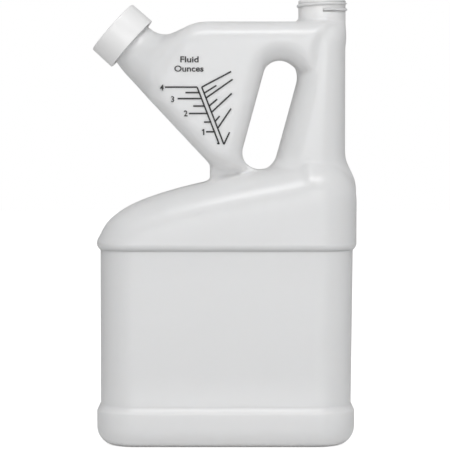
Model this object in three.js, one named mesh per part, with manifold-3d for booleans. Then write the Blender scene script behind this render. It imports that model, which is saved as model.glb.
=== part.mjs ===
// Tip-and-pour dosing bottle, millimetres, +Z up, +X towards the fill neck.
// One hollow blown body holds the container, the handle column, the bridge over the
// finger slot and the measuring chamber. A screw cap with a foam liner closes the chamber.
import * as THREE from 'three';
import { mergeVertices } from 'three/addons/utils/BufferGeometryUtils.js';
import Module from 'manifold-3d';

const wasm = await Module();
wasm.setup();

// Driving dimensions
const WALL = 1.3; // blown wall
const CORNER_STEPS = 4; // facets in each quarter round
const LEAST_ROUND = 1; // least corner radius of an inner ring
const LAP = 2; // neighbouring forms of the blown body run this far into one another
const CUT_OVER = 1; // a bore is cut this far past what it opens

// Container
const BODY_LEFT = -80.4;
const BODY_RIGHT = 82.5;
const BODY_HALF_DEPTH = 41;
const BODY_CORNER = 24; // corner radius in plan, and roll of the shoulder
const BODY_DRAFT = 1.4; // the right side leans in by this much at the foot
const FOOT_RADIUS = 9;
const FOOT_LAND = 8; // width of the flat foot ring
const PUSH_UP = 3; // height of the hollow under the base
const PUSH_UP_SLOPE = 7;
const PANEL_RECESS = 2.3; // the label panel lies this far inside the two bands
const LOWER_LEDGE_HEIGHT = 4.7;
const UPPER_LEDGE_HEIGHT = 6.1;
const LEDGE_CURVE = [[0, 0], [0.36, 0.26], [0.7, 0.74], [1, 1]]; // shares of a ledge's height and depth
const LOWER_BAND_TOP = 21.3;
const UPPER_BAND_BASE = 125;

// Middle of the shoulder's roll in the front view, one BODY_CORNER below its ridge, given
// from the left band's own middle line
const SHOULDER_LINE = [
  [0, -4.8], [2.4, -1.4], [12.2, 3.6], [29.8, 9.4], [55.4, 15.6], [87, 22], [108, 26.4],
];
const SHOULDER_TOP = 177;
const SHOULDER_END_RADIUS = 26;

// Finger slot between chamber and column
const SLOT_RADIUS = 10.6;
const SLOT_LOW = [21.4, 180];
const SLOT_HIGH = [34.06, 225.25];

// Chamber and bridge
const SLAB_TOP = 262;
const SLAB_HALF_DEPTH = 30;
const SLAB_ROUND = 12;
const SLAB_END = 60;
const CHAMBER_BASE = 170.3;
const CHAMBER_SHOULDER = 214; // the funnel ends inside the upper slab
const CHAMBER_WALL_POINT = [-65.6, 233.75]; // a point of the slanted pouring wall
const CHAMBER_WALL_FALL = 48; // its angle below level, in degrees
const CHAMBER_ROUND_LEFT = 12.1; // corner radii of the funnel, across
const CHAMBER_ROUND_RIGHT = 10.5;
const BRIDGE_CORNER = 224; // level where the slab gives way to the neck's flare
const BRIDGE_LEFT = -17; // left end of the slab's level top
const BRIDGE_ARC_END = 52; // degrees, where the slab's underside leaves the slot's round
const WEB_LEFT = -9.3;
const WEB_RIGHT = 15.2;
const WEB_HALF = 2.2; // half thickness of the welded web under the chamber
const WEB_BASE = 158;

// Column
const COLUMN_HALF_DEPTH = 27.5;
const COLUMN_CORNER = 18;
const COLUMN_RIGHT = 75.3;
const COLUMN_FOOT = 152;
const COLUMN_FLARE_BASE = 247;
const COLUMN_FOOT_SPREAD = [[0, 6.9], [6, 6.9], [10.5, 6.4], [14.2, 5.1], [18, 3.3], [21.7, 1.5]]; // rise, reach
const COLUMN_FOOT_LAP = 5; // the foot reaches this far under the slot
const COLUMN_LEAN_START = 181; // from here the slot side leans with the slot
const COLUMN_LEAN_END = 220; // and from here it runs to the fill neck
const LEAST_FLAT = 0.2; // least flat between the column's two corners

// Both necks share one thread finish
const NECK_RADIUS = 14.8;
const NECK_BORE = 12.5;
const NECK_RIM_ROUND = 0.5;
const THREAD_PITCH = 4.233;
const THREAD_HEIGHT = 1.1;
const THREAD_ROOT = 1.9;
const THREAD_CREST = 1.0;
const THREAD_TURNS = 1.25;
const THREAD_START = 1.5; // lip to the upper end of the ridge
const THREAD_FROM = -90; // degrees round from the right, where the ridge starts to climb
const THREAD_SINK = 0.3; // a ridge's root lies this far inside its wall
const THREAD_FADE = 0.1; // turns over which an end of the ridge fades out
const TURN_STEPS = 32;

// Fill neck
const FILL_X = 60.5;
const FILL_HEIGHT = 275.3;
const FILL_TUBE_BASE = 4; // the neck's tube starts this far below the slab's top

// Measuring neck, capped, leaning out to the upper left
const POUR_BASE = [-58.1, 248.2]; // neck axis at the level of the cap's rim
const POUR_RISE = 41.7; // degrees above level
const POUR_HEIGHT = 12.9; // rim of the cap to the lip
const POUR_TUBE_BASE = 1;
const FLARE_LEAST_ROUND = 4;

// Cap and liner
const CAP_RADIUS = 18.65;
const CAP_DRAFT = 0.45;
const CAP_HEIGHT = 15.9;
const CAP_TOP = 1.6;
const CAP_EDGE = 1.2;
const CAP_CLEARANCE = 0.45; // cap bore to the crest of the neck's thread
const CAP_THREAD_HEIGHT = 1.1;
const CAP_THREAD_ROOT = 1.4;
const CAP_THREAD_CREST = 0.7;
const CAP_THREAD_TURNS = 1.2;
const SEAT_GAP = 0.3;

// Printed scale on the chamber's front face
const INK = 0.3; // thickness of the print
const LINE = 1.0; // width of a printed line
const SCALE_TOP = [-17.4, 220.6]; // head of the level scale's slanted stem
const SCALE_FOOT = [-3.6, 184.9];
const SCALE_TICKS = [[0, 19.6], [0.095, 8.4], [0.2, 14.6], [0.33, 6.8], [0.46, 11.2], [0.61, 4.0], [0.78, 5.1]];
const TILT_SHIFT = 2.9; // the tilted scale's stem lies this far to the right
const TILT_TICKS = [
  [0, 20.3, 28], [0.105, 8.9, 32], [0.19, 19.9, 35], [0.33, 6.5, 40], [0.44, 16.9, 43], [0.6, 4.3, 50],
  [0.72, 14.6, 56], [1, 8.2, 65],
];
const NUMERAL_HEIGHT = 3.6;
const NUMERAL_LINE = 0.75;
const NUMERAL_PLACES = [[-13.6, 192.6], [-24.5, 204.2], [-32.7, 213.1], [-39.4, 220.4]];

const radians = THREE.MathUtils.degToRad;

// Solids and booleans

function solidOf(geometry) {
  const bare = geometry.clone();
  bare.deleteAttribute('normal');
  bare.deleteAttribute('uv');
  const merged = mergeVertices(bare, 1e-4);
  const index = Array.from(merged.index.array);
  const faces = [];
  for (let i = 0; i < index.length; i += 3) {
    const [a, b, c] = index.slice(i, i + 3);
    if (a !== b && b !== c && c !== a) faces.push(a, b, c);
  }
  const mesh = new wasm.Mesh({
    numProp: 3,
    vertProperties: new Float32Array(merged.attributes.position.array),
    triVerts: new Uint32Array(faces),
  });
  return new wasm.Manifold(mesh);
}

function geometryOf(solid) {
  const mesh = solid.getMesh();
  const geometry = new THREE.BufferGeometry();
  geometry.setAttribute('position', new THREE.BufferAttribute(mesh.vertProperties, 3));
  geometry.setIndex(new THREE.BufferAttribute(mesh.triVerts, 1));
  geometry.computeVertexNormals();
  return geometry;
}

function joined(solids) {
  return solids.reduce((whole, solid) => whole.add(solid));
}

// A closed skin over rings of points that all have the same count. LatheGeometry gives
// the faces, and each of its columns is then laid along the rings.
function loft(rings) {
  const count = rings[0].length;
  const middle = (ring) => ring.reduce((sum, p) => sum.add(p), new THREE.Vector3()).divideScalar(count);
  const rows = [rings[0].map(() => middle(rings[0])), ...rings, rings[0].map(() => middle(rings.at(-1)))];
  const profile = rows.map((_, i) => new THREE.Vector2(1, i));
  const geometry = new THREE.LatheGeometry(profile, count);
  const position = geometry.attributes.position;
  for (let k = 0; k < position.count; k++) {
    const p = rows[k % rows.length][Math.floor(k / rows.length) % count];
    position.setXYZ(k, p.x, p.y, p.z);
  }
  const solid = solidOf(geometry);
  return solid.volume() < 0 ? solidOf(flipped(geometry)) : solid;
}

function flipped(geometry) {
  const index = geometry.index.array;
  for (let i = 0; i < index.length; i += 3) [index[i], index[i + 1]] = [index[i + 1], index[i]];
  return geometry;
}

// A rounded rectangle of 4 * (CORNER_STEPS + 1) points: across from low to high, deep
// either side of the middle, with its corners roundLow, roundHigh wide and roundDeep deep.
function roundedRing({ low, high, deep, roundLow, roundHigh = roundLow, roundDeep = roundLow }, place) {
  const corners = [
    [high - roundHigh, deep - roundDeep, roundHigh, 0],
    [low + roundLow, deep - roundDeep, roundLow, 90],
    [low + roundLow, roundDeep - deep, roundLow, 180],
    [high - roundHigh, roundDeep - deep, roundHigh, 270],
  ];
  const points = [];
  for (const [across, depth, round, start] of corners) {
    for (let i = 0; i <= CORNER_STEPS; i++) {
      const turn = radians(start + (90 * i) / CORNER_STEPS);
      points.push(place(across + round * Math.cos(turn), depth + roundDeep * Math.sin(turn)));
    }
  }
  return points;
}

// An outline in the front view, given at the middle of its rolled edge, grown outwards by
// the roll and as deep as halfDepth on both sides.
function rolledSlab(outline, roll, halfDepth) {
  const shape = new THREE.Shape(outline.map(([x, z]) => new THREE.Vector2(x, z)));
  const geometry = new THREE.ExtrudeGeometry(shape, {
    depth: 2 * (halfDepth - roll),
    bevelEnabled: true,
    bevelSize: roll,
    bevelThickness: roll,
    bevelSegments: CORNER_STEPS,
  });
  geometry.rotateX(Math.PI / 2);
  geometry.translate(0, halfDepth - roll, 0);
  return solidOf(geometry);
}

function arc([cx, cz], radius, from, to, steps) {
  const points = [];
  for (let i = 0; i <= steps; i++) {
    const turn = radians(from + ((to - from) * i) / steps);
    points.push([cx + radius * Math.cos(turn), cz + radius * Math.sin(turn)]);
  }
  return points;
}

// Container: a foot ring, two bands and the recessed panel between them

function bodyRing(z, inset, wall) {
  const draft = BODY_DRAFT * THREE.MathUtils.clamp(1 - z / UPPER_BAND_BASE, 0, 1);
  const place = (x, y) => new THREE.Vector3(x, y, z);
  return roundedRing({
    low: BODY_LEFT + inset + wall,
    high: BODY_RIGHT - draft - inset - wall,
    deep: BODY_HALF_DEPTH - inset - wall,
    roundLow: Math.max(BODY_CORNER - inset - wall, LEAST_ROUND),
  }, place);
}

function container(wall) {
  const hollow = FOOT_RADIUS + FOOT_LAND;
  const rows = [
    [PUSH_UP, hollow + PUSH_UP_SLOPE],
    [0, hollow],
    ...arc([FOOT_RADIUS, FOOT_RADIUS], FOOT_RADIUS, 270, 180, CORNER_STEPS).map(([inset, z]) => [z, inset]),
    ...LEDGE_CURVE.map(([rise, inset]) => [LOWER_BAND_TOP + rise * LOWER_LEDGE_HEIGHT, inset * PANEL_RECESS]),
    ...LEDGE_CURVE.toReversed()
      .map(([rise, inset]) => [UPPER_BAND_BASE - rise * UPPER_LEDGE_HEIGHT, inset * PANEL_RECESS]),
  ];
  const lifted = (z) => Math.min(Math.max(z + wall * (1 - z / FOOT_RADIUS), z), UPPER_BAND_BASE);
  return loft(rows.map(([z, inset]) => bodyRing(z < FOOT_RADIUS ? lifted(z) : z, inset, wall)));
}

function shoulder(wall) {
  const left = BODY_LEFT + BODY_CORNER;
  const end = [BODY_RIGHT - SHOULDER_END_RADIUS, SHOULDER_TOP - SHOULDER_END_RADIUS];
  const line = new THREE.SplineCurve(
    SHOULDER_LINE.map(([across, up]) => new THREE.Vector2(left + across, UPPER_BAND_BASE + up)),
  );
  const outline = [
    [left, UPPER_BAND_BASE - BODY_CORNER],
    ...line.getPoints(16).map((p) => [p.x, p.y]),
    ...arc(end, SHOULDER_END_RADIUS - BODY_CORNER, 90, 0, CORNER_STEPS),
    [BODY_RIGHT - BODY_CORNER, UPPER_BAND_BASE - BODY_CORNER],
  ];
  const slab = rolledSlab(outline, BODY_CORNER - wall, BODY_HALF_DEPTH - wall);
  const keep = new THREE.BoxGeometry(2 * (BODY_RIGHT - BODY_LEFT), 4 * BODY_HALF_DEPTH, SHOULDER_TOP);
  keep.translate(0, 0, UPPER_BAND_BASE + SHOULDER_TOP / 2);
  return slab.intersect(solidOf(keep));
}

// Column: rises from the shoulder beside the slot and closes in to the fill neck

const slotLean = Math.atan2(SLOT_HIGH[0] - SLOT_LOW[0], SLOT_HIGH[1] - SLOT_LOW[1]);
const slotMiddle = (z) => SLOT_LOW[0] + (z - SLOT_LOW[1]) * Math.tan(slotLean);
const slotEdge = (z, side) => slotMiddle(z) + (side * SLOT_RADIUS) / Math.cos(slotLean);

function column(wall) {
  const place = (z) => (x, y) => new THREE.Vector3(x, y, z);
  const neckLeft = FILL_X - NECK_RADIUS;
  const footLeft = slotEdge(SLOT_LOW[1], 1) - COLUMN_FOOT_LAP;
  const rows = [
    ...COLUMN_FOOT_SPREAD.map(([rise, reach]) => [COLUMN_FOOT + rise, footLeft, COLUMN_RIGHT + reach]),
    [COLUMN_LEAN_START, slotEdge(COLUMN_LEAN_START, 1), COLUMN_RIGHT],
    [COLUMN_LEAN_END, slotEdge(COLUMN_LEAN_END, 1), COLUMN_RIGHT],
    [COLUMN_FLARE_BASE, neckLeft, COLUMN_RIGHT],
  ];
  const rings = rows.map(([z, left, right]) => roundedRing({
    low: left + wall,
    high: right - wall,
    deep: COLUMN_HALF_DEPTH - wall,
    roundLow: Math.min(COLUMN_CORNER, (right - left) / 2 - LEAST_FLAT) - wall,
    roundDeep: COLUMN_CORNER - wall,
  }, place(z)));
  for (const [out, up] of arc([0, 0], 1, 0, 90, CORNER_STEPS).slice(1)) {
    const deep = THREE.MathUtils.lerp(NECK_RADIUS, COLUMN_HALF_DEPTH, out) - wall;
    rings.push(roundedRing({
      low: neckLeft + wall,
      high: FILL_X + NECK_RADIUS - wall,
      deep,
      roundLow: NECK_RADIUS - wall,
      roundDeep: Math.min(COLUMN_CORNER - wall, deep),
    }, place(THREE.MathUtils.lerp(COLUMN_FLARE_BASE, SLAB_TOP, up))));
  }
  return loft(rings);
}

// Chamber: a funnel between the slanted pouring wall and the slot's leaning side

const wallFall = radians(CHAMBER_WALL_FALL);
const wallAt = (z) => CHAMBER_WALL_POINT[0] + (CHAMBER_WALL_POINT[1] - z) / Math.tan(wallFall);
const rollEnd = CHAMBER_BASE + SLAB_ROUND;

// Left side of the finger slot at a level: its lower round, then its leaning side
function slotLeft(z) {
  if (z > SLOT_LOW[1] + SLOT_RADIUS * Math.sin(slotLean)) return slotEdge(z, -1);
  return SLOT_LOW[0] - Math.sqrt(Math.max(SLOT_RADIUS ** 2 - (SLOT_LOW[1] - z) ** 2, 0));
}

function chamber(wall) {
  const rows = [
    ...arc([0, 0], SLAB_ROUND - wall, 270, 360, CORNER_STEPS)
      .map(([out, up]) => [rollEnd + up, SLAB_HALF_DEPTH - SLAB_ROUND + out]),
    [(2 * rollEnd + CHAMBER_SHOULDER) / 3, SLAB_HALF_DEPTH - wall],
    [CHAMBER_SHOULDER, SLAB_HALF_DEPTH - wall],
  ];
  const leftWall = wall / Math.sin(wallFall);
  const rightWall = wall / Math.cos(slotLean);
  return loft(rows.map(([z, deep]) => roundedRing({
    low: Math.min(wallAt(z), WEB_LEFT) + leftWall,
    high: slotLeft(z) - rightWall,
    deep,
    roundLow: CHAMBER_ROUND_LEFT - leftWall,
    roundHigh: CHAMBER_ROUND_RIGHT - rightWall,
    roundDeep: SLAB_ROUND - wall,
  }, (x, y) => new THREE.Vector3(x, y, z))));
}

// Upper slab: the top of the chamber and the bridge over the slot, up to the column
function bridge(wall) {
  const inner = [
    Math.cos(wallFall - Math.PI / 2) * SLAB_ROUND,
    -Math.sin(wallFall - Math.PI / 2) * SLAB_ROUND,
  ];
  const wallLine = (z) => wallAt(z - inner[1]) + inner[0];
  const slotLine = (z) => slotEdge(z, -1) - SLAB_ROUND / Math.cos(slotLean);
  const base = CHAMBER_SHOULDER - LAP;
  const lean = THREE.MathUtils.radToDeg(slotLean);
  const outline = [
    [wallLine(base), base],
    [slotLine(base), base],
    ...arc(SLOT_HIGH, SLOT_RADIUS + SLAB_ROUND, 180 - lean, BRIDGE_ARC_END, 2 * CORNER_STEPS),
    [SLAB_END - SLAB_ROUND, SLAB_TOP - SLAB_ROUND],
    [BRIDGE_LEFT, SLAB_TOP - SLAB_ROUND],
    [wallLine(BRIDGE_CORNER), BRIDGE_CORNER],
  ];
  return rolledSlab(outline, SLAB_ROUND - wall, SLAB_HALF_DEPTH - wall);
}

// Measuring neck's own frame: out along the axis, and across it in the front view

const pourRise = radians(POUR_RISE);
const pourAxis = new THREE.Vector3(-Math.cos(pourRise), 0, Math.sin(pourRise));
const pourAcross = new THREE.Vector3(Math.sin(pourRise), 0, Math.cos(pourRise));
const pourBase = new THREE.Vector3(POUR_BASE[0], 0, POUR_BASE[1]);
const atNeck = (out, across, y) => new THREE.Vector3(0, y, 0).add(pourBase)
  .addScaledVector(pourAxis, out).addScaledVector(pourAcross, across);

// Distances in from the cap's rim, with the flare's lower and upper edge and half depth
const FLARE = [
  [-2, -14.7, 14.8, 14.8], [1, -14.7, 14.8, 14.8], [5, -15, 15, 15.8], [8.7, -15.2, 16.2, 18.2],
  [12.9, -15.6, 19, 21.6], [15.5, -15.8, 23.4, 23.8], [17.5, -16, 28.5, 25.3], [20.5, -16.3, 33.8, 27.3],
  [25, -16.8, 37.5, 29], [34, -17.6, 37.5, 29.6],
];

function flare(wall) {
  return loft(FLARE.map(([inwards, low, high, deep]) => {
    const depth = deep - wall;
    const round = Math.min(depth, (high - low) / 2 - wall);
    const share = Math.max(inwards, 0) / FLARE.at(-1)[0];
    const eased = Math.max(THREE.MathUtils.lerp(round, SLAB_ROUND - wall, share), FLARE_LEAST_ROUND);
    return roundedRing({
      low: low + wall,
      high: high - wall,
      deep: depth,
      roundLow: Math.min(eased, round),
      roundDeep: Math.min(eased, depth),
    }, (across, y) => atNeck(-inwards, across, y));
  }));
}

function web() {
  const top = CHAMBER_BASE + 2 * LAP;
  const block = new THREE.BoxGeometry(WEB_RIGHT - WEB_LEFT, 2 * WEB_HALF, top - WEB_BASE);
  block.translate((WEB_LEFT + WEB_RIGHT) / 2, 0, (top + WEB_BASE) / 2);
  return solidOf(block);
}

// Screw finish, built about +Z with the given level at z = 0

function turned(profile) {
  return solidOf(new THREE.LatheGeometry(profile.map(([r, z]) => new THREE.Vector2(r, z)), TURN_STEPS)
    .rotateX(Math.PI / 2));
}

// A ridge that climbs round the axis: a straight bar wrapped into a helix. Its height fades
// out at both ends.
function threadRidge({ root, height, rootWidth, crestWidth, start, turns, inward = false }) {
  const out = inward ? -1 : 1;
  const profile = new THREE.Shape([
    new THREE.Vector2(-THREAD_SINK, -rootWidth / 2), new THREE.Vector2(0, -rootWidth / 2),
    new THREE.Vector2(height, -crestWidth / 2), new THREE.Vector2(height, crestWidth / 2),
    new THREE.Vector2(0, rootWidth / 2), new THREE.Vector2(-THREAD_SINK, rootWidth / 2),
  ]);
  const bar = new THREE.ExtrudeGeometry(profile, {
    depth: 1, steps: Math.round(turns * TURN_STEPS), bevelEnabled: false,
  });
  const position = bar.attributes.position;
  for (let k = 0; k < position.count; k++) {
    const along = position.getZ(k);
    const fade = THREE.MathUtils.smoothstep(Math.min(along, 1 - along) * turns, -THREAD_FADE / 5, THREAD_FADE);
    const radius = root + out * Math.max(position.getX(k) * fade, -THREAD_SINK);
    const turn = radians(THREAD_FROM + 360 * along * turns);
    position.setXYZ(k, radius * Math.cos(turn), radius * Math.sin(turn),
      start + position.getY(k) + THREAD_PITCH * along * turns);
  }
  const solid = solidOf(bar);
  return solid.volume() < 0 ? solidOf(flipped(mergeVertices(bar))) : solid;
}

// Tube from the given depth below up to the lip at z = height, with its thread
function finish(height, below) {
  const tube = turned([
    [NECK_BORE, -below], [NECK_RADIUS, -below], [NECK_RADIUS, height - NECK_RIM_ROUND],
    [NECK_RADIUS - NECK_RIM_ROUND, height], [NECK_BORE, height], [NECK_BORE, -below],
  ]);
  const ridge = threadRidge({
    root: NECK_RADIUS,
    height: THREAD_HEIGHT,
    rootWidth: THREAD_ROOT,
    crestWidth: THREAD_CREST,
    start: height - THREAD_START - THREAD_TURNS * THREAD_PITCH,
    turns: THREAD_TURNS,
  });
  return tube.add(ridge);
}

function bore(height, below) {
  const low = -below - CUT_OVER;
  const high = height + CUT_OVER;
  return turned([[0, low], [NECK_BORE, low], [NECK_BORE, high], [0, high]]);
}

const pourFrame = new THREE.Matrix4()
  .makeBasis(pourAcross, new THREE.Vector3(0, 1, 0), pourAxis).setPosition(pourBase);
const fillFrame = new THREE.Matrix4().makeTranslation(FILL_X, 0, SLAB_TOP);
const fillRise = FILL_HEIGHT - SLAB_TOP;

function placed(solid, frame) {
  return solidOf(geometryOf(solid).applyMatrix4(frame));
}

function bottleSolid() {
  const forms = (wall) => [
    container(wall), shoulder(wall), column(wall), chamber(wall), bridge(wall), flare(wall),
  ];
  const skin = joined([
    ...forms(0),
    web(),
    placed(finish(fillRise, FILL_TUBE_BASE), fillFrame),
    placed(finish(POUR_HEIGHT, POUR_TUBE_BASE), pourFrame),
  ]);
  const cavity = joined([
    ...forms(WALL),
    placed(bore(fillRise, FILL_TUBE_BASE), fillFrame),
    placed(bore(POUR_HEIGHT, POUR_TUBE_BASE), pourFrame),
  ]);
  return skin.subtract(cavity);
}

// Cap, built about the neck's axis with its rim at z = 0

function capSolid() {
  const inside = NECK_RADIUS + THREAD_HEIGHT + CAP_CLEARANCE;
  const end = CAP_RADIUS - CAP_DRAFT;
  const shell = turned([
    [inside, 0], [CAP_RADIUS, 0], ...arc([end - CAP_EDGE, CAP_HEIGHT - CAP_EDGE], CAP_EDGE, 0, 90, 2),
    [0, CAP_HEIGHT], [0, CAP_HEIGHT - CAP_TOP], [inside, CAP_HEIGHT - CAP_TOP], [inside, 0],
  ]);
  const firstRidge = POUR_HEIGHT - THREAD_START - THREAD_TURNS * THREAD_PITCH;
  const ridge = threadRidge({
    root: inside,
    height: CAP_THREAD_HEIGHT,
    rootWidth: CAP_THREAD_ROOT,
    crestWidth: CAP_THREAD_CREST,
    start: firstRidge - THREAD_PITCH / 2,
    turns: CAP_THREAD_TURNS,
    inward: true,
  });
  return shell.add(ridge);
}

function linerSolid() {
  const radius = NECK_RADIUS + THREAD_HEIGHT;
  const low = POUR_HEIGHT + SEAT_GAP;
  const high = CAP_HEIGHT - CAP_TOP - SEAT_GAP;
  return turned([[0, low], [radius, low], [radius, high], [0, high]]);
}

// Printed scale

const scaleLean = Math.atan2(SCALE_FOOT[0] - SCALE_TOP[0], SCALE_TOP[1] - SCALE_FOOT[1]);
const scaleLength = Math.hypot(SCALE_FOOT[0] - SCALE_TOP[0], SCALE_TOP[1] - SCALE_FOOT[1]);

// A flat bar of ink from one point to another on the chamber's front face
function inkBar([ax, az], [bx, bz], width) {
  const length = Math.hypot(bx - ax, bz - az);
  const bar = new THREE.BoxGeometry(length + width, INK, width);
  bar.rotateY(-Math.atan2(bz - az, bx - ax));
  bar.translate((ax + bx) / 2, -SLAB_HALF_DEPTH - INK / 2, (az + bz) / 2);
  return solidOf(bar);
}

function stemPoint(share, shift) {
  const along = share * scaleLength;
  return [SCALE_TOP[0] + Math.sin(scaleLean) * along + shift, SCALE_TOP[1] - Math.cos(scaleLean) * along];
}

function levelScale() {
  const ticks = SCALE_TICKS.map(([share, length]) => {
    const [x, z] = stemPoint(share, 0);
    return inkBar([x, z], [x - length, z], LINE);
  });
  return joined([inkBar(stemPoint(0, 0), stemPoint(1, 0), LINE), ...ticks]);
}

function tiltedScale() {
  const ticks = TILT_TICKS.map(([share, length, rise]) => {
    const [x, z] = stemPoint(share, TILT_SHIFT);
    const turn = radians(rise);
    return inkBar([x, z], [x + length * Math.cos(turn), z + length * Math.sin(turn)], LINE);
  });
  return joined([inkBar(stemPoint(0, TILT_SHIFT), stemPoint(1, TILT_SHIFT), LINE), ...ticks]);
}

// Strokes of the numerals 1 to 4, in a box one unit high and 0.6 wide
const NUMERALS = [
  [[[0.12, 0.8], [0.35, 1]], [[0.35, 1], [0.35, 0]]],
  [[[0, 0.85], [0.3, 1]], [[0.3, 1], [0.6, 0.78]], [[0.6, 0.78], [0, 0]], [[0, 0], [0.6, 0]]],
  [[[0, 0.9], [0.4, 1]], [[0.4, 1], [0.6, 0.76]], [[0.6, 0.76], [0.28, 0.54]], [[0.28, 0.54], [0.6, 0.28]],
    [[0.6, 0.28], [0.4, 0]], [[0.4, 0], [0, 0.1]]],
  [[[0.45, 0], [0.45, 1]], [[0.45, 1], [0, 0.3]], [[0, 0.3], [0.65, 0.3]]],
];

function numeral(index) {
  const [cx, cz] = NUMERAL_PLACES[index];
  const spot = ([u, v]) => [cx + (u - 0.3) * NUMERAL_HEIGHT, cz + (v - 0.5) * NUMERAL_HEIGHT];
  return joined(NUMERALS[index].map(([from, to]) => inkBar(spot(from), spot(to), NUMERAL_LINE)));
}

// Assembly

const polythene = new THREE.MeshStandardMaterial({ color: 0xe9e9e6, roughness: 0.42, metalness: 0 });
const capPlastic = new THREE.MeshStandardMaterial({ color: 0xf6f6f6, roughness: 0.35, metalness: 0 });
const foam = new THREE.MeshStandardMaterial({ color: 0xefefec, roughness: 0.9, metalness: 0 });
const ink = new THREE.MeshStandardMaterial({ color: 0x202020, roughness: 0.6, metalness: 0 });

function part(name, solid, material) {
  const mesh = new THREE.Mesh(geometryOf(solid), material);
  mesh.name = name;
  return mesh;
}

const bottle = new THREE.Group();
bottle.add(part('bottle', bottleSolid(), polythene));

const closure = new THREE.Group();
closure.applyMatrix4(pourFrame);
closure.add(part('chamber_cap', capSolid(), capPlastic), part('cap_liner', linerSolid(), foam));
bottle.add(closure);

bottle.add(part('level_scale', levelScale(), ink), part('tilted_scale', tiltedScale(), ink));
NUMERALS.forEach((_, index) => bottle.add(part(`numeral_${index + 1}`, numeral(index), ink)));

export default bottle;
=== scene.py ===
import math

import bmesh
import bpy
from mathutils import Matrix, Vector


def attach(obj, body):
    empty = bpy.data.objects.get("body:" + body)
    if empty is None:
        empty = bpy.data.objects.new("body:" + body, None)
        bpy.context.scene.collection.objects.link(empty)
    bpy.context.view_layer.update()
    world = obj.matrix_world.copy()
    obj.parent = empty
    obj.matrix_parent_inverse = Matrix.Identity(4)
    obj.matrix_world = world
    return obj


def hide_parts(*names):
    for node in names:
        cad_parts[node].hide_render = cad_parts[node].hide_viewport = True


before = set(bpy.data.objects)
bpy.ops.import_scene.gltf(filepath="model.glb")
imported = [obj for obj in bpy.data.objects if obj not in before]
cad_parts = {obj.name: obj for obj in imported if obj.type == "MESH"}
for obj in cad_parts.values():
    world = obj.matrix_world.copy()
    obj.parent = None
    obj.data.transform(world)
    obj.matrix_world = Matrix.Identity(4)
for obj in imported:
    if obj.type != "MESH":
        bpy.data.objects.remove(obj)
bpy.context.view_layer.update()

# Bottle, first forms. A tip-and-pour dosing bottle is blown in one piece from natural
# high-density polythene. These are the masses that the mould joins: shoulder, column,
# funnel-shaped measuring chamber, bridge over the finger slot, and the neck's flare.
body_left, body_right, body_half = -0.0792, 0.0813, 0.041
body_corner, body_draft = 0.024, 0.0014
band_base, shoulder_lap = 0.125, 0.03
slot_low, slot_high, slot_radius = (0.0216, 0.1808), (0.0344, 0.2275), 0.0109
slot_lean = math.atan2(slot_high[0] - slot_low[0], slot_high[1] - slot_low[1])
slab_top, slab_half, slab_round, slab_end = 0.2614, 0.030, 0.012, 0.062
chamber_base, chamber_full, chamber_top = 0.1703, 0.192, 0.214
wall_point, wall_fall = (-0.0656, 0.2336), math.radians(46.9)
web_left, web_right, web_half, web_foot, web_lap = -0.0093, 0.023, 0.0185, 0.158, 0.004
column_half, column_corner, column_right, column_foot = 0.0275, 0.018, 0.0745, 0.152
column_waist, column_straight, column_bend = 0.177, 0.181, 0.220
flare_base = 0.247
neck_radius, neck_bore = 0.0147, 0.0125
fill_x, fill_height = 0.0604, 0.2753
pour_base = Vector((-0.0581, 0, 0.2482))
pour_rise = math.radians(41.7)
pour_axis = Vector((-math.cos(pour_rise), 0, math.sin(pour_rise)))
pour_across = Vector((math.sin(pour_rise), 0, math.cos(pour_rise)))
pour_height = 0.0129
corner_steps = 10


def arc(centre, radius, start, end, steps):
    """Points along an arc, its ends given in degrees."""
    turns = [math.radians(start + (end - start) * i / steps) for i in range(steps + 1)]
    return [(centre[0] + radius * math.cos(t), centre[1] + radius * math.sin(t)) for t in turns]


def spline(points, steps):
    """A smooth line through the points, with that many steps between neighbours."""
    ends = [points[0], *points, points[-1]]
    line = []
    for a, b, c, d in zip(ends, ends[1:], ends[2:], ends[3:]):
        a, b, c, d = map(Vector, (a, b, c, d))
        for i in range(steps):
            t = i / steps
            p = b + t * (c - a) / 2 + t * t * (a - 2.5 * b + 2 * c - d / 2)
            line.append(tuple(p + t ** 3 * (-a + 3 * b - 3 * c + d) / 2))
    return line + [tuple(points[-1])]


def next_ring(bm, edges, order, places):
    """Extrudes a closed loop of edges to new places, one for each number kept in the layer."""
    made = bmesh.ops.extrude_edge_only(bm, edges=edges)["geom"]
    for v in made:
        if isinstance(v, bmesh.types.BMVert):
            v.co = places[v[order]]
    return [e for e in made if isinstance(e, bmesh.types.BMEdge)]


def loft(rings):
    """A closed form over rings of points that all have the same count."""
    bm = bmesh.new()
    order = bm.verts.layers.int.new("order")
    verts = [bm.verts.new(p) for p in rings[0]]
    for number, v in enumerate(verts):
        v[order] = number
    edges = [bm.edges.new((a, b)) for a, b in zip(verts, verts[1:] + verts[:1])]
    loops = [edges]
    for ring in rings[1:]:
        loops.append(next_ring(bm, loops[-1], order, ring))
    for loop in (loops[0], loops[-1]):
        bmesh.ops.contextual_create(bm, geom=loop)
    bmesh.ops.recalc_face_normals(bm, faces=bm.faces[:])
    return bm


def rounded(low, high, deep, round_low, round_high=None, round_deep=None, steps=corner_steps):
    """The points of a rounded rectangle, as pairs across and deep."""
    round_high = round_low if round_high is None else round_high
    round_deep = round_low if round_deep is None else round_deep
    points = []
    for across, depth, reach, start in (
        (high - round_high, deep - round_deep, round_high, 0),
        (low + round_low, deep - round_deep, round_low, 90),
        (low + round_low, round_deep - deep, round_low, 180),
        (high - round_high, round_deep - deep, round_high, 270),
    ):
        for i in range(steps + 1):
            turn = math.radians(start + 90 * i / steps)
            points.append((across + reach * math.cos(turn), depth + round_deep * math.sin(turn)))
    return points


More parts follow.
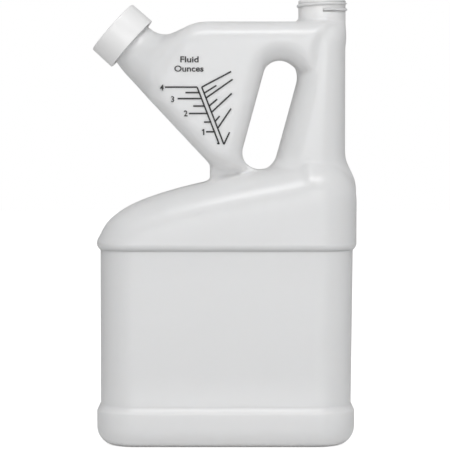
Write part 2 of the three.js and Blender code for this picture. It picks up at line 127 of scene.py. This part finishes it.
def grown(outline, distance):
    """A closed outline in the front view, grown outwards along its own normals."""
    count = len(outline)
    area = sum(outline[i - 1][0] * outline[i][1] - outline[i][0] * outline[i - 1][1] for i in range(count))
    sign = 1 if area > 0 else -1
    points = []
    for i in range(count):
        before, here, after = (Vector(outline[j % count]) for j in (i - 1, i, i + 1))
        first, second = (here - before).normalized(), (after - here).normalized()
        middle = (first + second).normalized()
        miter = distance / max(middle.dot(first), 0.5)
        points.append((here.x + sign * middle.y * miter, here.y - sign * middle.x * miter))
    return points


def rolled_slab(outline, roll, half):
    """A slab with a quarter-round roll all along its front and back rims."""
    rings = []
    for y, side in ((-half + roll, -1), (half - roll, 1)):
        turns = [math.pi / 2 * i / corner_steps for i in range(corner_steps + 1)]
        for turn in turns if side < 0 else turns[::-1]:
            out = grown(outline, roll * math.sin(turn))
            rings.append([(x, y + side * roll * math.cos(turn), z) for x, z in out])
    return loft(rings)


def slot_edge(z, side):
    """How far across the finger slot's straight side lies at that height."""
    return slot_low[0] + (z - slot_low[1]) * math.tan(slot_lean) + side * slot_radius / math.cos(slot_lean)


def wall_at(z):
    """How far across the chamber's sloping left wall lies at that height."""
    return wall_point[0] + (wall_point[1] - z) / math.tan(wall_fall)


def stub(radius, low, high, place, sides=64):
    """A short solid cylinder."""
    circle = arc((0, 0), radius, 0, 360 - 360 / sides, sides - 1)
    return loft([[place @ Vector((x, y, z)) for x, y in circle] for z in (low, high)])


def body_core():
    """Plain block under the shoulder, of the upper band's own outline."""
    outline = rounded(body_left, body_right, body_half, body_corner, steps=24)
    return loft([[(x, y, z) for x, y in outline] for z in (band_base - 0.02, band_base + 0.002)])


def shoulder():
    """The top of the container, which climbs from the left in one curve to the column."""
    left = body_left + body_corner
    line = [(0, -0.0048), (0.0024, -0.0014), (0.0122, 0.0036), (0.0298, 0.0094), (0.0554, 0.0156),
            (0.087, 0.022), (0.108, 0.0264)]
    end_radius, top = 0.026, 0.177
    outline = [
        (left, band_base - shoulder_lap),
        *spline([(left + across, band_base + up) for across, up in line], 6),
        *arc((body_right - end_radius, top - end_radius), end_radius - body_corner, 90, 0, 6),
        (body_right - body_corner, band_base - shoulder_lap),
    ]
    form = rolled_slab(outline, body_corner, body_half)
    halves = bmesh.ops.bisect_plane(form, geom=form.verts[:] + form.edges[:] + form.faces[:],
                                    plane_co=(0, 0, band_base), plane_no=(0, 0, -1), clear_outer=True)
    rim = [e for e in halves["geom_cut"] if isinstance(e, bmesh.types.BMEdge)]
    bmesh.ops.contextual_create(form, geom=rim)
    return form


def column():
    """The hollow grip from the shoulder up to the fill neck, with its foot spread to the right."""
    foot_spread = [(0, 0.0069), (0.006, 0.0069), (0.0105, 0.0064), (0.0142, 0.0051), (0.018, 0.0033),
                   (0.0217, 0.0015)]
    foot_reach, waist_reach, least_flat = 0.005, 0.0004, 0.0002
    neck_left = fill_x - neck_radius
    foot_left = slot_edge(slot_low[1], 1) - foot_reach
    rows = [
        *[(column_foot + rise, foot_left, column_right + reach) for rise, reach in foot_spread],
        (column_waist, slot_edge(column_waist, 1) - waist_reach, column_right + waist_reach),
        (column_straight, slot_edge(column_straight, 1), column_right),
        (column_bend, slot_edge(column_bend, 1), column_right),
        (flare_base, neck_left, column_right),
    ]
    rings = []
    for z, left, right in rows:
        corner = min(column_corner, (right - left) / 2 - least_flat)
        outline = rounded(left, right, column_half, corner, round_deep=column_corner)
        rings.append([(x, y, z) for x, y in outline])
    for out, up in arc((0, 0), 1, 0, 90, corner_steps)[1:]:
        deep = neck_radius + (column_half - neck_radius) * out
        z = flare_base + (slab_top - flare_base) * up
        outline = rounded(neck_left, fill_x + neck_radius, deep, neck_radius,
                          round_deep=min(column_corner, deep))
        rings.append([(x, y, z) for x, y in outline])
    return loft(rings)


def chamber():
    """The funnel between the sloping left wall and the finger slot, with a rolled bottom."""
    left_ease, right_ease, least_deep = 0.003, 0.002, 0.004
    rolled = arc((slab_half - slab_round, chamber_base + slab_round), slab_round, 270, 360, corner_steps)
    rings = []
    for deep, z in [*rolled, (slab_half, chamber_full), (slab_half, chamber_top)]:
        lean_in = max(slot_low[1] - z, 0)
        arc_left = slot_low[0] - math.sqrt(max(slot_radius ** 2 - lean_in ** 2, 0))
        right = arc_left if z < slot_low[1] + slot_radius * math.sin(slot_lean) else slot_edge(z, -1)
        reach = min(slab_round, deep - least_deep)
        outline = rounded(min(wall_at(z), web_left), right, deep, reach / math.sin(wall_fall) - left_ease,
                          reach / math.cos(slot_lean) - right_ease, reach)
        rings.append([(x, y, z) for x, y in outline])
    return loft(rings)


def bridge():
    """The slab over the finger slot. Its outline is the middle that the rolled rims grow from."""
    inward = (math.sin(wall_fall) * slab_round, math.cos(wall_fall) * slab_round)
    base, corner, top = 0.212, 0.222, slab_top - slab_round
    crown = [(-0.0106, 0), (-0.013, 0.0002), (-0.0155, 0.00065), (-0.018, 0.0015), (-0.0205, 0.0029),
             (-0.023, 0.0048)]
    knee_up, knee_down = 0.004, 0.003
    lean = math.degrees(slot_lean)
    knee = Vector((wall_at(corner - inward[1]) + inward[0], corner))
    foot = Vector((wall_at(base - inward[1]) + inward[0], base))
    peak = Vector((crown[-1][0], top - crown[-1][1]))
    outline = [
        tuple(foot),
        (slot_edge(base, -1) - slab_round / math.cos(slot_lean), base),
        *arc(slot_high, slot_radius + slab_round, 180 - lean, 50, 24),
        (slab_end - slab_round, top),
        *[(x, top - drop) for x, drop in crown],
        tuple(knee + (peak - knee).normalized() * knee_up),
        tuple(knee + (foot - knee).normalized() * knee_down),
    ]
    return rolled_slab(outline, slab_round, slab_half)


def at_neck(out, across, y):
    """A place given along the measuring neck, across it, and in depth."""
    return pour_base + pour_axis * out + pour_across * across + Vector((0, y, 0))


def flare():
    """From the round measuring neck to the flat-sided chamber.

    Each row holds the way in along the neck, the lower and upper side, and half the depth.
    """
    rows = [
        (-0.002, -0.0146, 0.0147, 0.0147), (0.001, -0.0149, 0.0147, 0.0147),
        (0.005, -0.0157, 0.015, 0.0158), (0.0087, -0.0163, 0.0162, 0.0182),
        (0.0129, -0.0167, 0.019, 0.0216), (0.0155, -0.0169, 0.0234, 0.0238),
        (0.0175, -0.0171, 0.0285, 0.0253), (0.0205, -0.0173, 0.0325, 0.0273),
        (0.025, -0.0178, 0.035, 0.0287), (0.034, -0.0185, 0.035, 0.0287),
    ]
    reach = rows[-1][0]
    rings = []
    for inwards, low, high, deep in rows:
        widest = min(deep, (high - low) / 2)
        corner = widest + (slab_round - widest) * max(inwards, 0) / reach
        outline = rounded(low, high, deep, min(corner, widest), round_deep=min(corner, deep))
        rings.append([at_neck(-inwards, x, y) for x, y in outline])
    return loft(rings)


def web():
    """The short waist by which the chamber's bottom stands on the shoulder."""
    high = chamber_base + web_lap
    form = bmesh.new()
    bmesh.ops.create_cube(form, size=1)
    bmesh.ops.scale(form, vec=(web_right - web_left, 2 * web_half, high - web_foot), verts=form.verts[:])
    bmesh.ops.translate(form, vec=((web_left + web_right) / 2, 0, (web_foot + high) / 2),
                        verts=form.verts[:])
    return form


pour_frame = Matrix((
    (pour_across.x, 0, pour_axis.x, pour_base.x),
    (0, 1, 0, 0),
    (pour_across.z, 0, pour_axis.z, pour_base.z),
    (0, 0, 0, 1),
))
fill_frame = Matrix.Translation((fill_x, 0, slab_top))


def gathered(forms):
    """One bmesh that holds all the forms."""
    whole = bmesh.new()
    for form in forms:
        mesh = bpy.data.meshes.new("form")
        form.to_mesh(mesh)
        whole.from_mesh(mesh)
        bpy.data.meshes.remove(mesh)
        form.free()
    return whole


def made_object(name, bm, smooth=True):
    """An object at the origin that takes over the bmesh."""
    mesh = bpy.data.meshes.new(name)
    bm.to_mesh(mesh)
    bm.free()
    if smooth:
        mesh.shade_smooth()
    obj = bpy.data.objects.new(name, mesh)
    bpy.context.scene.collection.objects.link(obj)
    return obj


def with_modifiers(obj, linked=True):
    """A bmesh of the object with its modifiers applied. The object itself is removed."""
    if not linked:
        bpy.context.scene.collection.objects.link(obj)
    bpy.context.view_layer.update()
    evaluated = obj.evaluated_get(bpy.context.evaluated_depsgraph_get())
    bm = bmesh.new()
    bm.from_mesh(evaluated.to_mesh())
    evaluated.to_mesh_clear()
    bpy.data.objects.remove(obj)
    return bm


# Bottle, skin. The forms are melted together on a fine grid and relaxed, which gives the
# soft fillets that blown polythene has where the forms meet. The grid is cut off at the
# upper band and at both necks, where the mould's edges are crisp.
grid = 0.0016
relax_rounds, relax_in, relax_out = 14, 0.5, -0.52
neck_cut, pour_cut, stub_sink = 0.0026, 0.001, 0.006

blank = made_object("blank", gathered([
    body_core(), shoulder(), column(), chamber(), bridge(), flare(), web(),
    stub(neck_radius, -stub_sink, neck_cut + stub_sink, fill_frame),
    stub(neck_radius, -0.002, pour_height * 0.6, pour_frame),
]))
melt = blank.modifiers.new("melt", "REMESH")
melt.mode = "VOXEL"
melt.voxel_size = grid
skin = with_modifiers(blank)
slot_line = Vector((slot_high[0] - slot_low[0], slot_high[1] - slot_low[1]))
# Each round first clears the finger slot and then relaxes the skin without shrinking it.
for _ in range(relax_rounds):
    for v in skin.verts:
        reach = Vector((v.co.x - slot_low[0], v.co.z - slot_low[1]))
        share = min(max(reach.dot(slot_line) / slot_line.length_squared, 0), 1)
        away = reach - slot_line * share
        if away.length < slot_radius:
            out = away.normalized() * (slot_radius - away.length)
            v.co += Vector((out.x, 0, out.y))
    for factor in (relax_in, relax_out):
        bmesh.ops.smooth_vert(skin, verts=skin.verts[:], factor=factor,
                              use_axis_x=True, use_axis_y=True, use_axis_z=True)


def cut_off(bm, point, normal):
    """Cuts away what lies beyond a plane and returns the loop of edges that it leaves."""
    cut = bmesh.ops.bisect_plane(bm, geom=bm.verts[:] + bm.edges[:] + bm.faces[:], dist=1e-6,
                                 plane_co=point, plane_no=normal, clear_outer=True)
    return [g for g in cut["geom_cut"] if isinstance(g, bmesh.types.BMEdge)]


order = skin.verts.layers.int.new("order")
pour_loop = cut_off(skin, pour_base + pour_axis * pour_cut, pour_axis)
fill_loop = cut_off(skin, (0, 0, slab_top + neck_cut), (0, 0, 1))
band_loop = cut_off(skin, (0, 0, band_base), (0, 0, -1))


def numbered(loop):
    """Numbers the points of a loop and returns them."""
    points = list({v for e in loop for v in e.verts})
    for number, v in enumerate(points):
        v[order] = number
    return points


def rounded_to_circle(points, place):
    """Puts the points of a neck's loop on its true circle. Returns the turn of each point."""
    back = place.inverted()
    turns = []
    for v in points:
        p = back @ v.co
        turn = math.atan2(p.y, p.x)
        v.co = place @ Vector((neck_radius * math.cos(turn), neck_radius * math.sin(turn), p.z))
        turns.append(turn)
    return turns


pour_turns = rounded_to_circle(numbered(pour_loop), pour_frame)
fill_turns = rounded_to_circle(numbered(fill_loop), fill_frame)
band_feet = []
for v in numbered(band_loop):
    core = Vector((
        min(max(v.co.x, body_left + body_corner), body_right - body_corner),
        min(max(v.co.y, body_corner - body_half), body_half - body_corner),
    ))
    outward = (v.co.xy - core).normalized()
    v.co.xy = core + outward * body_corner
    band_feet.append((core, outward))

# Bottle, wall. The parison's wall is about 1.3 mm. The inner face follows the skin, and
# both are open here at the band and the necks.
wall = 0.0013
skin.normal_update()
copied = bmesh.ops.duplicate(skin, geom=skin.verts[:] + skin.edges[:] + skin.faces[:])
inner_faces = [g for g in copied["geom"] if isinstance(g, bmesh.types.BMFace)]
inner_points = [g for g in copied["geom"] if isinstance(g, bmesh.types.BMVert)]
for v in inner_points:
    v.co -= v.normal * wall
bmesh.ops.reverse_faces(skin, faces=inner_faces)
inside = copied["edge_map"]
inner_pour = [inside[e] for e in pour_loop]
inner_fill = [inside[e] for e in fill_loop]
inner_band = [inside[e] for e in band_loop]

# Bottle, container. Two bands stand proud of a flat label panel, and the foot rolls in to
# a ring round the pushed-up base. The rows run from the upper band down.
lower_band_top, panel_low, panel_high = 0.0213, 0.0262, 0.1207
recess, foot_radius, foot_land, push_up = 0.0023, 0.0115, 0.008, 0.003
foot_hollow = 0.0068


def band_ring(z, inset):
    """The container's outline at that height, set in from the bands and drawn in by the draft."""
    draft = body_draft * min(max(1 - z / band_base, 0), 1)
    span = body_right - body_left - 2 * body_corner
    ring = []
    for core, outward in band_feet:
        share = (core.x - body_left - body_corner) / span
        x, y = core + outward * (body_corner - inset)
        ring.append(Vector((x - draft * share, y, z)))
    return ring


def eased(t):
    """A share from 0 to 1 with a soft start and end."""
    return t * t * (3 - 2 * t)


upper_ledge = [(band_base + (panel_high - band_base) * t, recess * t * t) for t in
               (0.12, 0.25, 0.38, 0.5, 0.62, 0.74, 0.84, 0.92, 0.97)]
upper_ledge += [(panel_high, recess * 0.98), (panel_high - 0.0005, recess)]
lower_ledge = [(panel_low + (lower_band_top - panel_low) * t, recess * (1 - (0.35 * t + 0.65 * eased(t))))
               for t in (0, 0.08, 0.2, 0.35, 0.5, 0.65, 0.8, 0.92, 1)]
foot = [(z, inset) for inset, z in arc((foot_radius, foot_radius), foot_radius, 180, 270, 12)]
hollow = [(push_up * eased(t), foot_radius + foot_land + foot_hollow * t)
          for t in (0, 0.2, 0.4, 0.6, 0.8, 1)]
panel = [(panel_low + (panel_high - panel_low) * t, recess) for t in (0.8, 0.6, 0.4, 0.2)]
crisp = [(lower_band_top - 0.0006, 0), (foot_radius + 0.002, 0)]
for z, inset in [*upper_ledge, *panel, *lower_ledge, *crisp, *foot, *hollow]:
    band_loop = next_ring(skin, band_loop, order, band_ring(z, inset))
bmesh.ops.contextual_create(skin, geom=band_loop)

inner_rows = [(0.121, 0.0008), (panel_high, recess), (0.072, recess), (panel_low, recess),
              (0.0205, 0.0003)]
inner_rows += [(z + wall * (1 - z / foot_radius), inset) for z, inset in foot[::2]]
inner_rows += [(z + wall, inset) for z, inset in hollow[1::2]]
for z, inset in inner_rows:
    inner_band = next_ring(skin, inner_band, order, band_ring(z, inset + wall))
bmesh.ops.contextual_create(skin, geom=inner_band)

# Bottle, necks. Both take a 33 mm screw finish: a thicker tube with a rolled lip. The fill
# neck stands open, and the measuring neck is under the cap.
rim_round = 0.0006


def neck(outer_loop, inner_loop, place, turns, start, height, joint):
    """Tube from start to the lip, over it, and back down the bore to the wall's inner face."""
    rim_low = height - rim_round
    rows = [(neck_radius, start + (rim_low - start) * t) for t in (0.25, 0.5, 0.75)]
    rows += arc((neck_radius - rim_round, rim_low), rim_round, 0, 90, 4)
    rows += arc((neck_bore + rim_round, rim_low), rim_round, 90, 180, 4)
    rows += [(neck_bore, (rim_low + joint) / 2), (neck_bore, joint)]
    for radius, z in rows:
        ring = [place @ Vector((radius * math.cos(t), radius * math.sin(t), z)) for t in turns]
        outer_loop = next_ring(skin, outer_loop, order, ring)
    ends = {v[order]: v.co.copy() for e in inner_loop for v in e.verts}
    outer_loop = next_ring(skin, outer_loop, order, ends)
    seam = {v for loop in (outer_loop, inner_loop) for e in loop for v in e.verts}
    bmesh.ops.remove_doubles(skin, verts=list(seam), dist=1e-6)


fill_rise = fill_height - slab_top
neck(fill_loop, inner_fill, fill_frame, fill_turns, neck_cut, fill_rise, neck_cut + 0.001)
neck(pour_loop, inner_pour, pour_frame, pour_turns, pour_cut, pour_height, pour_cut + 0.001)

# Bottle, threads. One right-handed ridge of a turn and a quarter runs round each neck,
# from the front, and fades out at both ends.
thread_pitch, thread_height, thread_turns, thread_start = 0.004233, 0.0011, 1.25, 0.0015
thread_from = math.radians(-90)
thread_root, thread_crest, thread_sink, thread_blend = 0.0021, 0.0009, 0.0004, 0.0002
thread_steps, thread_fade, thread_least = 64, 0.12, 0.25


def thread(radius, height, root, crest, start, turns, place, inward=False):
    """A bar of rounded section spun round the axis as it climbs."""
    out = -1 if inward else 1
    steps = round(thread_steps * turns)
    bm = bmesh.new()
    half = [(-thread_sink, root / 2), (0, root / 2), (0.35 * height, (root + crest) / 4 + thread_blend),
            (0.85 * height, crest / 2), (height, crest / 4)]
    section = [(x, -z) for x, z in half] + half[::-1]
    face = bm.faces.new([bm.verts.new((radius + out * x, 0, start + z)) for x, z in section])
    bmesh.ops.spin(bm, geom=[face, *face.edges, *face.verts], cent=(0, 0, 0), axis=(0, 0, 1),
                   dvec=(0, 0, thread_pitch * turns / steps), angle=2 * math.pi * turns, steps=steps)
    bmesh.ops.remove_doubles(bm, verts=bm.verts[:], dist=1e-7)
    for v in bm.verts:
        climbed = (v.co.z - start) / thread_pitch
        fade = eased(min(max(min(climbed, turns - climbed) / thread_fade + thread_least, 0), 1))
        beyond = (v.co.xy.length - radius) * out
        if beyond > 0:
            v.co.xy = v.co.xy.normalized() * (radius + out * beyond * fade)
    bmesh.ops.recalc_face_normals(bm, faces=bm.faces[:])
    bmesh.ops.transform(bm, matrix=place @ Matrix.Rotation(thread_from, 4, "Z"), verts=bm.verts[:])
    return bm


ridges = [
    thread(neck_radius, thread_height, thread_root, thread_crest,
           height - thread_start - thread_turns * thread_pitch, thread_turns, place)
    for height, place in ((fill_rise, fill_frame), (pour_height, pour_frame))
]
bottle_skin = made_object("bottle_skin", gathered([skin, *ridges]))
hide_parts("bottle")
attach(bottle_skin, "bottle")


def material(name, colour, roughness):
    """A principled material with its links, its coordinates and its main node."""
    made = bpy.data.materials.new(name)
    made.use_nodes = True
    nodes, links = made.node_tree.nodes, made.node_tree.links
    main = nodes["Principled BSDF"]
    main.inputs["Base Color"].default_value = (*colour, 1)
    main.inputs["Roughness"].default_value = roughness
    place = nodes.new("ShaderNodeTexCoord")
    return made, nodes, links, place.outputs["Object"], main


def noise(nodes, links, place, scale, detail):
    """The value of a cloudy texture."""
    texture = nodes.new("ShaderNodeTexNoise")
    texture.inputs["Scale"].default_value = scale
    texture.inputs["Detail"].default_value = detail
    links.new(place, texture.inputs["Vector"])
    return texture.outputs["Fac"]


def spread(nodes, links, source, low, high):
    """A texture's value brought into the range from low to high."""
    ranged = nodes.new("ShaderNodeMapRange")
    ranged.inputs["To Min"].default_value = low
    ranged.inputs["To Max"].default_value = high
    links.new(source, ranged.inputs["Value"])
    return ranged.outputs["Result"]


def bump(nodes, links, height, distance, strength, normal=None):
    """A surface direction tilted by a height, over another one if it is given."""
    node = nodes.new("ShaderNodeBump")
    node.inputs["Distance"].default_value = distance
    node.inputs["Strength"].default_value = strength
    links.new(height, node.inputs["Height"])
    if normal:
        links.new(normal, node.inputs["Normal"])
    return node.outputs["Normal"]


# Polythene: milky, with light carried a few millimetres through the wall. Its satin face
# has the fine grain of a blasted mould and a slow unevenness from blowing.
polythene, nodes, links, place, main = material("polythene", (0.838, 0.832, 0.826), 0.3)
main.inputs["Subsurface Weight"].default_value = 0.6
main.inputs["Subsurface Radius"].default_value = (1.0, 0.95, 0.9)
main.inputs["Subsurface Scale"].default_value = 0.006
main.inputs["IOR"].default_value = 1.54
grain = noise(nodes, links, place, 2600, 2)
swell = noise(nodes, links, place, 38, 2)
links.new(spread(nodes, links, swell, 0.28, 0.36), main.inputs["Roughness"])
slow = bump(nodes, links, swell, 0.0003, 0.35)
links.new(bump(nodes, links, grain, 0.00003, 0.35, slow), main.inputs["Normal"])
bottle_skin.data.materials.append(polythene)

# Cap. A 33 mm screw cap moulded in white polypropylene closes the measuring neck. It is
# smooth outside, with a slight draft and a rounded top edge, and threaded inside.
cap_radius, cap_draft, cap_height, cap_top, cap_edge = 0.0190, 0.0003, 0.0162, 0.0018, 0.001
cap_bore, rim_edge = 0.01635, 0.0004
cap_thread_height, cap_thread_root, cap_thread_crest, cap_thread_turns = 0.0011, 0.0014, 0.0007, 1.2


def spun(profile, place, steps=128):
    """A solid turned from a closed profile of radii and heights."""
    bm = bmesh.new()
    verts = [bm.verts.new((r, 0, z)) for r, z in profile]
    edges = [bm.edges.new(pair) for pair in zip(verts, verts[1:] + verts[:1])
             if pair[0].co.x > 0 or pair[1].co.x > 0]
    bmesh.ops.spin(bm, geom=verts + edges, cent=(0, 0, 0), axis=(0, 0, 1), angle=2 * math.pi,
                   steps=steps, use_merge=True)
    bmesh.ops.remove_doubles(bm, verts=bm.verts[:], dist=1e-7)
    bmesh.ops.recalc_face_normals(bm, faces=bm.faces[:])
    bmesh.ops.transform(bm, matrix=place, verts=bm.verts[:])
    return bm


cap_end = cap_radius - cap_draft
cap_profile = [
    *arc((cap_bore + rim_edge, rim_edge), rim_edge, 180, 270, 4),
    *arc((cap_radius - rim_edge, rim_edge), rim_edge, 270, 360, 4),
    *[(cap_radius - cap_draft * t, cap_height * t) for t in (0.3, 0.6, 0.9)],
    *arc((cap_end - cap_edge, cap_height - cap_edge), cap_edge, 0, 90, 8),
    (0, cap_height),
    (0, cap_height - cap_top),
    *arc((cap_bore - rim_edge, cap_height - cap_top - rim_edge), rim_edge, 90, 0, 3),
]
first_ridge = pour_height - thread_start - thread_turns * thread_pitch
cap_thread = thread(cap_bore, cap_thread_height, cap_thread_root, cap_thread_crest,
                    first_ridge - thread_pitch / 2, cap_thread_turns, pour_frame, inward=True)
cap_shell = made_object("cap_shell", gathered([spun(cap_profile, pour_frame), cap_thread]))
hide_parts("chamber_cap")
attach(cap_shell, "cap")

cap_plastic, nodes, links, place, main = material("cap_plastic", (0.82, 0.82, 0.82), 0.3)
main.inputs["Subsurface Weight"].default_value = 0.2
main.inputs["Subsurface Radius"].default_value = (1, 1, 1)
main.inputs["Subsurface Scale"].default_value = 0.002
swell = noise(nodes, links, place, 60, 2)
links.new(spread(nodes, links, swell, 0.27, 0.33), main.inputs["Roughness"])
links.new(bump(nodes, links, noise(nodes, links, place, 3000, 2), 0.00002, 0.3), main.inputs["Normal"])
cap_shell.data.materials.append(cap_plastic)

# Liner. A disc of white polythene foam lies loose in the cap and seals on the lip.
seat_gap = 0.0003
liner_radius, liner_low = 0.0159, pour_height + seat_gap
liner_high = cap_height - cap_top - seat_gap
liner_profile = [(0, liner_low), (liner_radius, liner_low), (liner_radius, liner_high), (0, liner_high)]
liner = made_object("liner_disc", spun(liner_profile, pour_frame), smooth=False)
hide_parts("cap_liner")
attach(liner, "closure")

foam, nodes, links, place, main = material("foam", (0.86, 0.86, 0.84), 0.85)
cells = nodes.new("ShaderNodeTexVoronoi")
cells.inputs["Scale"].default_value = 2500
links.new(place, cells.inputs["Vector"])
links.new(bump(nodes, links, cells.outputs["Distance"], 0.0001, 0.5), main.inputs["Normal"])
liner.data.materials.append(foam)

# Print. Black ink is screened on the chamber's flat face: a scale for pouring, a second
# one for reading with the bottle tilted, the figures 1 to 4 and the unit's two words.
ink_face, ink_proud, ink_line = -slab_half, 0.0003, 0.00095
scale_top, scale_foot = Vector((-0.01703, 0.2208)), Vector((-0.00352, 0.1859))
tilt_shift = Vector((0.00285, 0))
# A tick has its share of the way down, its length, and on the tilted scale its rise in degrees.
level_ticks = [(0, 0.0196), (0.095, 0.0084), (0.2, 0.0146), (0.33, 0.0068), (0.46, 0.0112), (0.61, 0.004),
               (0.78, 0.0051), (0.985, 0.0012)]
tilt_ticks = [(0, 0.0203, 28), (0.105, 0.0089, 32), (0.19, 0.0199, 35), (0.33, 0.0065, 40),
              (0.44, 0.0169, 43), (0.6, 0.0043, 50), (0.72, 0.0146, 56), (1, 0.0082, 65)]
figure_height, word_height = 0.0036, 0.0037
figures = {"2": (-0.024, 0.2048), "3": (-0.032, 0.2135), "4": (-0.0386, 0.2206)}
words = {"Fluid": ((-0.0217, 0.2377), 0.0112), "Ounces": ((-0.022, 0.2321), 0.0178)}
one_top, one_foot, one_flag = Vector((-0.013, 0.1952)), Vector((-0.013, 0.1916)), Vector((-0.0141, 0.1943))
one_stroke, flag_stroke, flag_drop = 0.0008, 0.0007, Vector((0, 0.0003))


def line(start, end, width=ink_line):
    """A printed line between two points of the chamber's face."""
    along = (end - start).normalized()
    side = Vector((-along.y, along.x)) * width / 2
    corners = [start - side, end - side, end + side, start + side]
    return loft([[(p.x, ink_face + depth, p.y) for p in corners] for depth in (ink_proud, -ink_proud)])


def printed(name, forms, replaced):
    """One piece of ink, in place of the solid that is named, if any."""
    piece = made_object(name, gathered(forms), smooth=False)
    piece.data.materials.append(ink)
    if replaced:
        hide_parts(replaced)
    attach(piece, "bottle")


def lettering(text, height, centre, width=None):
    """Sans letters of that height about a centre, stretched to the width if one is given."""
    data = bpy.data.curves.new("letters", "FONT")
    data.body = text
    data.offset = 0.018
    data.extrude = 0.1
    letters = with_modifiers(bpy.data.objects.new("letters", data), linked=False)
    xs, ys = ([v.co[i] for v in letters.verts] for i in range(2))
    tall = height / (max(ys) - min(ys))
    wide = width / (max(xs) - min(xs)) if width else tall
    middle_x, middle_y = (min(xs) + max(xs)) / 2, (min(ys) + max(ys)) / 2
    for v in letters.verts:
        side = -1 if v.co.z > 0 else 1
        v.co = (centre[0] + (v.co.x - middle_x) * wide, ink_face + ink_proud * side,
                centre[1] + (v.co.y - middle_y) * tall)
    bmesh.ops.remove_doubles(letters, verts=letters.verts[:], dist=1e-7)
    bmesh.ops.recalc_face_normals(letters, faces=letters.faces[:])
    return letters


ink, nodes, links, place, main = material("ink", (0.02, 0.02, 0.02), 0.5)
coverage = noise(nodes, links, place, 900, 3)
tone = nodes.new("ShaderNodeCombineColor")
for channel in ("Red", "Green", "Blue"):
    links.new(spread(nodes, links, coverage, 0.012, 0.035), tone.inputs[channel])
links.new(tone.outputs["Color"], main.inputs["Base Color"])

stem = scale_foot - scale_top
level_bars = [line(scale_top, scale_foot)]
for share, length in level_ticks:
    start = scale_top + stem * share
    level_bars.append(line(start, start - Vector((length, 0))))
tilt_bars = [line(scale_top + tilt_shift, scale_foot + tilt_shift)]
for share, length, rise in tilt_ticks:
    start = scale_top + tilt_shift + stem * share
    turn = math.radians(rise)
    tilt_bars.append(line(start, start + Vector((math.cos(turn), math.sin(turn))) * length))
printed("level_lines", level_bars, "level_scale")
printed("tilted_lines", tilt_bars, "tilted_scale")
for figure, centre in figures.items():
    printed("figure_" + figure, [lettering(figure, figure_height, centre)], "numeral_" + figure)
strokes = [line(one_foot, one_top, one_stroke), line(one_top - flag_drop, one_flag, flag_stroke)]
printed("figure_1", strokes, "numeral_1")
for word, (centre, width) in words.items():
    printed("word_" + word.lower(), [lettering(word, word_height, centre, width)], None)

# Floor, light and camera. A wide soft lamp hangs above and in front, and a second one stands
# behind the camera. The floor and the studio behind it are white to the camera alone.
lamp_above, lamp_front = (0.05, -0.75, 1.25), (0.1, -1.6, 0.35)
fill_light, floor_lift = 0.42, 0.75
camera_place, camera_aim = Vector((0, -1.4, 0.194)), Vector((0, 0, 0.1353))


def lamp(name, place, target, width, height, power):
    """A rectangular area lamp turned to its target."""
    data = bpy.data.lights.new(name, "AREA")
    data.shape = "RECTANGLE"
    data.size, data.size_y, data.energy = width, height, power
    light = bpy.data.objects.new(name, data)
    light.location = place
    light.rotation_euler = (Vector(target) - Vector(place)).to_track_quat("-Z", "Y").to_euler()
    bpy.context.scene.collection.objects.link(light)


lamp("overhead", lamp_above, (0, 0, 0.15), 0.8, 0.3, 7)
lamp("front", lamp_front, (0, 0, 0.14), 1.2, 0.7, 6.5)

world = bpy.data.worlds.new("studio")
bpy.context.scene.world = world
world.use_nodes = True
nodes, links = world.node_tree.nodes, world.node_tree.links
seen = nodes.new("ShaderNodeLightPath")
strength = nodes.new("ShaderNodeMapRange")
strength.inputs["To Min"].default_value = fill_light
strength.inputs["To Max"].default_value = 1
links.new(seen.outputs["Is Camera Ray"], strength.inputs["Value"])
links.new(strength.outputs["Result"], nodes["Background"].inputs["Strength"])
nodes["Background"].inputs["Color"].default_value = (1, 1, 1, 1)

floor_form = bmesh.new()
bmesh.ops.create_grid(floor_form, x_segments=1, y_segments=1, size=4)
floor = made_object("floor", floor_form)
floor_material, nodes, links, place, main = material("floor", (0.85, 0.85, 0.85), 0.9)
main.inputs["Specular IOR Level"].default_value = 0
seen = nodes.new("ShaderNodeLightPath")
lift = spread(nodes, links, seen.outputs["Is Camera Ray"], 0, floor_lift)
main.inputs["Emission Color"].default_value = (1, 1, 1, 1)
links.new(lift, main.inputs["Emission Strength"])
floor.data.materials.append(floor_material)

camera_data = bpy.data.cameras.new("camera")
camera_data.lens = 179.2
camera_data.sensor_width = 36
camera = bpy.data.objects.new("camera", camera_data)
camera.location = camera_place
camera.rotation_euler = (camera_aim - camera_place).to_track_quat("-Z", "Y").to_euler()
bpy.context.scene.collection.objects.link(camera)
bpy.context.scene.camera = camera
bpy.context.scene.view_settings.view_transform = "Standard"
